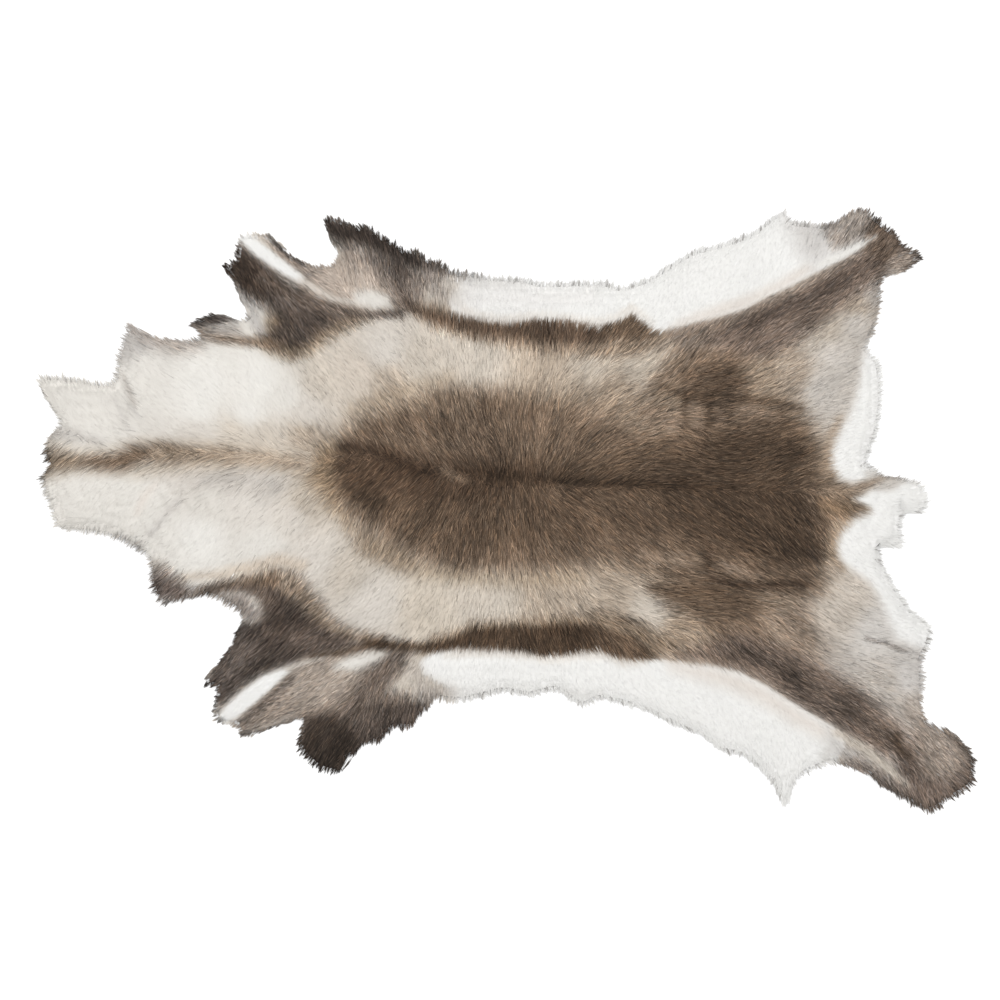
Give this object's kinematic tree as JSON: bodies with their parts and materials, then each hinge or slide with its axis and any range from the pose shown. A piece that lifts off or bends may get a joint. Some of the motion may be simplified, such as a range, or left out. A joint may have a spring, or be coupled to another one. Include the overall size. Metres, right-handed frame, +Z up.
{
  "type": "animal hide rug",
  "caption": "Reindeer hide with its hair on, laid flat hair side up as a floor or seat rug, with neck flap, leg flaps, short tail and dark flank stripes",
  "frame": {"origin": "centre of the bounding box in plan, on the flat underside", "axes": "+X runs along the back from the neck to the tail, +Y to the animal's right-hand legs, +Z up out of the hair"},
  "size_m": [1.3152, 0.846, 0.0282],
  "materials": {
    "reindeer_coat": "dense lying hair, ivory neck and belly, dark brown saddle and flank stripes",
    "tanned_skin": "undyed suede on the underside and cut edge"
  },
  "bodies": {
    "root": {"hide": "reindeer_coat"}
  },
  "joints": []
}
